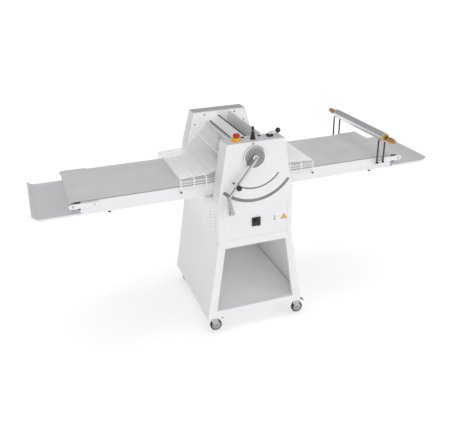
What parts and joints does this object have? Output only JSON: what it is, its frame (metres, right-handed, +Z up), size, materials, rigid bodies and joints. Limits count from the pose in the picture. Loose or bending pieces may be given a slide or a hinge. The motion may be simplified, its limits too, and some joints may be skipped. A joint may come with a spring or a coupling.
{
  "type": "dough sheeter",
  "caption": "Floor-standing dough sheeter: trapezoid stand on casters, two roller heads, fold-up belt tables with wire guards and catch trays, and a rolling pin rack.",
  "frame": {"origin": "on the floor, under the centre of the whole machine's box", "axes": "+Z up, +X towards the table with the rolling pin, -Y towards the operator's side with the controls"},
  "size_m": [2.534, 0.864, 1.335],
  "materials": {
    "white_paint": "satin near-white powder coat",
    "guard_wire": "white coated wire",
    "steel": "satin steel",
    "chrome": "bright chrome plate",
    "belt_fabric": "light gray coated conveyor fabric",
    "black_plastic": "moulded black plastic",
    "rubber": "dark rubber",
    "zinc": "bright zinc plate",
    "red_plastic": "red moulded plastic",
    "yellow_plastic": "yellow moulded plastic",
    "wood": "oiled orange-brown hardwood",
    "motor_gray": "gray painted casting"
  },
  "bodies": {
    "frame": {"stand_left_panel": "white_paint", "stand_right_panel": "white_paint", "stand_front_frame": "white_paint", "stand_back_panel": "white_paint", "stand_shelf": "white_paint", "waist_deck": "white_paint", "switch_panel": "white_paint", "front_head_cover": "white_paint", "front_head_plate": "white_paint", "rear_head_plate": "white_paint", "rear_head_cover": "white_paint", "left_top_cover": "white_paint", "right_top_cover": "white_paint", "flour_tray": "steel", "index_arc_plate": "steel", "left_table_support": "black_plastic", "right_table_support": "black_plastic", "gear_motor": "motor_gray", "main_switch_plate": "black_plastic", "emergency_stop_base": "yellow_plastic", "joystick_boot": "rubber", "clamp_lever_base": "black_plastic"},
    "thickness_lever": {"lever_arm": "chrome", "dial_disc": "steel"},
    "index_plunger": {"index_plunger": "black_plastic"},
    "roller_carriage": {"roller_carriage": "steel"},
    "upper_roller": {"upper_roller": "chrome"},
    "lower_roller": {"lower_roller": "chrome"},
    "left_table": {"left_table_frame": "white_paint", "left_belt": "belt_fabric", "left_end_roller_carrier": "white_paint"},
    "left_drive_roller": {"left_drive_roller": "steel"},
    "left_end_roller": {"left_end_roller": "steel"},
    "left_guard": {"left_guard": "guard_wire"},
    "left_catch_tray": {"left_catch_tray": "white_paint"},
    "right_table": {"right_table_frame": "white_paint", "right_belt": "belt_fabric", "right_end_roller_carrier": "white_paint", "front_pin_bracket": "steel", "rear_pin_bracket": "steel"},
    "right_drive_roller": {"right_drive_roller": "steel"},
    "right_end_roller": {"right_end_roller": "steel"},
    "right_guard": {"right_guard": "guard_wire"},
    "right_catch_tray": {"right_catch_tray": "white_paint"},
    "rolling_pin": {"pin_handles": "wood"},
    "pin_tube": {"pin_tube": "chrome"},
    "main_switch_knob": {"main_switch_knob": "black_plastic"},
    "emergency_stop_button": {"emergency_stop_button": "red_plastic"},
    "joystick_lever": {"joystick_lever": "black_plastic"},
    "clamp_lever": {"clamp_lever": "chrome"},
    "caster_fork_front_left": {"caster_fork_front_left": "zinc"},
    "caster_wheel_front_left": {"caster_wheel_front_left": "rubber"},
    "caster_brake_front_left": {"caster_brake_front_left": "black_plastic"},
    "caster_fork_front_right": {"caster_fork_front_right": "zinc"},
    "caster_wheel_front_right": {"caster_wheel_front_right": "rubber"},
    "caster_brake_front_right": {"caster_brake_front_right": "black_plastic"},
    "caster_fork_rear_left": {"caster_fork_rear_left": "zinc"},
    "caster_wheel_rear_left": {"caster_wheel_rear_left": "rubber"},
    "caster_fork_rear_right": {"caster_fork_rear_right": "zinc"},
    "caster_wheel_rear_right": {"caster_wheel_rear_right": "rubber"}
  },
  "joints": [
    {"name": "thickness_lever_turn", "type": "hinge", "parent": "frame", "child": "thickness_lever", "pos_m": [-0.012, -0.352, 1.17], "axis": [0, -1, 0], "range_deg": [0, 88]},
    {"name": "index_plunger_pull", "type": "slide", "parent": "thickness_lever", "child": "index_plunger", "axis": [0, -1, 0], "range_m": [0, 0.008], "stiffness_N_per_m": 800, "springref_m": -0.004},
    {"name": "roller_gap", "type": "slide", "parent": "frame", "child": "roller_carriage", "axis": [0, 0, 1], "range_m": [0, 0.03]},
    {"name": "upper_roller_spin", "type": "hinge", "parent": "roller_carriage", "child": "upper_roller", "pos_m": [0, 0.029, 1.039], "axis": [0, 1, 0], "continuous": true},
    {"name": "lower_roller_spin", "type": "hinge", "parent": "frame", "child": "lower_roller", "pos_m": [0, 0.029, 0.971], "axis": [0, 1, 0], "continuous": true},
    {"name": "left_table_fold", "type": "hinge", "parent": "frame", "child": "left_table", "pos_m": [-0.09, 0.029, 0.9755], "axis": [0, 1, 0], "range_deg": [0, 65]},
    {"name": "left_guard_lift", "type": "hinge", "parent": "frame", "child": "left_guard", "pos_m": [-0.08, 0.029, 1.203], "axis": [0, 1, 0], "range_deg": [0, 114]},
    {"name": "left_drive_roller_spin", "type": "hinge", "parent": "left_table", "child": "left_drive_roller", "pos_m": [-0.09, 0.029, 0.9755], "axis": [0, 1, 0], "continuous": true},
    {"name": "left_end_roller_spin", "type": "hinge", "parent": "left_table", "child": "left_end_roller", "pos_m": [-1.043, 0.029, 0.985], "axis": [0, 1, 0], "continuous": true},
    {"name": "left_catch_tray_pull", "type": "slide", "parent": "left_table", "child": "left_catch_tray", "axis": [-1, 0, 0], "range_m": [0, 0.12]},
    {"name": "right_table_fold", "type": "hinge", "parent": "frame", "child": "right_table", "pos_m": [0.09, 0.029, 0.9755], "axis": [0, -1, 0], "range_deg": [0, 65]},
    {"name": "right_guard_lift", "type": "hinge", "parent": "frame", "child": "right_guard", "pos_m": [0.08, 0.029, 1.203], "axis": [0, -1, 0], "range_deg": [0, 114]},
    {"name": "right_drive_roller_spin", "type": "hinge", "parent": "right_table", "child": "right_drive_roller", "pos_m": [0.09, 0.029, 0.9755], "axis": [0, 1, 0], "continuous": true},
    {"name": "right_end_roller_spin", "type": "hinge", "parent": "right_table", "child": "right_end_roller", "pos_m": [1.043, 0.029, 0.985], "axis": [0, 1, 0], "continuous": true},
    {"name": "right_catch_tray_pull", "type": "slide", "parent": "right_table", "child": "right_catch_tray", "axis": [1, 0, 0], "range_m": [0, 0.12]},
    {"name": "rolling_pin_lift", "type": "slide", "parent": "right_table", "child": "rolling_pin", "axis": [0, 0, 1], "range_m": [0, 0.06]},
    {"name": "pin_tube_spin", "type": "hinge", "parent": "rolling_pin", "child": "pin_tube", "pos_m": [0.9, 0.029, 1.151], "axis": [0, 1, 0], "continuous": true},
    {"name": "main_switch_turn", "type": "hinge", "parent": "frame", "child": "main_switch_knob", "pos_m": [0, -0.352, 0.758], "axis": [0, -1, 0], "range_deg": [0, 90]},
    {"name": "emergency_stop_press", "type": "slide", "parent": "frame", "child": "emergency_stop_button", "axis": [0, 0, -1], "range_m": [0, 0.005]},
    {"name": "joystick_tilt", "type": "hinge", "parent": "frame", "child": "joystick_lever", "pos_m": [-0.002, -0.302, 1.2928], "axis": [0, 1, 0], "range_deg": [-14, 14]},
    {"name": "clamp_lever_turn", "type": "hinge", "parent": "frame", "child": "clamp_lever", "pos_m": [0.109, -0.289, 1.2733], "axis": [0, 0, 1], "range_deg": [-60, 60]},
    {"name": "caster_swivel_front_left", "type": "hinge", "parent": "frame", "child": "caster_fork_front_left", "pos_m": [-0.288, -0.302, 0.1147], "axis": [0, 0, 1], "continuous": true},
    {"name": "caster_roll_front_left", "type": "hinge", "parent": "caster_fork_front_left", "child": "caster_wheel_front_left", "pos_m": [-0.258, -0.302, 0.0375], "axis": [0, 1, 0], "continuous": true},
    {"name": "caster_brake_press_front_left", "type": "hinge", "parent": "caster_fork_front_left", "child": "caster_brake_front_left", "pos_m": [-0.244, -0.302, 0.0992], "axis": [0, 1, 0], "range_deg": [0, 18]},
    {"name": "caster_swivel_front_right", "type": "hinge", "parent": "frame", "child": "caster_fork_front_right", "pos_m": [0.288, -0.302, 0.1147], "axis": [0, 0, 1], "continuous": true},
    {"name": "caster_roll_front_right", "type": "hinge", "parent": "caster_fork_front_right", "child": "caster_wheel_front_right", "pos_m": [0.318, -0.302, 0.0375], "axis": [0, 1, 0], "continuous": true},
    {"name": "caster_brake_press_front_right", "type": "hinge", "parent": "caster_fork_front_right", "child": "caster_brake_front_right", "pos_m": [0.332, -0.302, 0.0992], "axis": [0, 1, 0], "range_deg": [0, 18]},
    {"name": "caster_swivel_rear_left", "type": "hinge", "parent": "frame", "child": "caster_fork_rear_left", "pos_m": [-0.288, 0.348, 0.1147], "axis": [0, 0, 1], "continuous": true},
    {"name": "caster_roll_rear_left", "type": "hinge", "parent": "caster_fork_rear_left", "child": "caster_wheel_rear_left", "pos_m": [-0.258, 0.348, 0.0375], "axis": [0, 1, 0], "continuous": true},
    {"name": "caster_swivel_rear_right", "type": "hinge", "parent": "frame", "child": "caster_fork_rear_right", "pos_m": [0.288, 0.348, 0.1147], "axis": [0, 0, 1], "continuous": true},
    {"name": "caster_roll_rear_right", "type": "hinge", "parent": "caster_fork_rear_right", "child": "caster_wheel_rear_right", "pos_m": [0.318, 0.348, 0.0375], "axis": [0, 1, 0], "continuous": true}
  ],
  "couplings": [
    {"joint": "roller_gap", "follows": "thickness_lever_turn", "m_per_rad": 0.01945},
    {"joint": "upper_roller_spin", "follows": "lower_roller_spin", "ratio": -1},
    {"joint": "left_drive_roller_spin", "follows": "lower_roller_spin", "ratio": 1.1698},
    {"joint": "right_drive_roller_spin", "follows": "lower_roller_spin", "ratio": 1.1698},
    {"joint": "left_end_roller_spin", "follows": "lower_roller_spin", "ratio": 1.8235},
    {"joint": "right_end_roller_spin", "follows": "lower_roller_spin", "ratio": 1.8235},
    {"joint": "left_guard_lift", "follows": "left_table_fold", "ratio": 1.75},
    {"joint": "right_guard_lift", "follows": "right_table_fold", "ratio": 1.75}
  ]
}
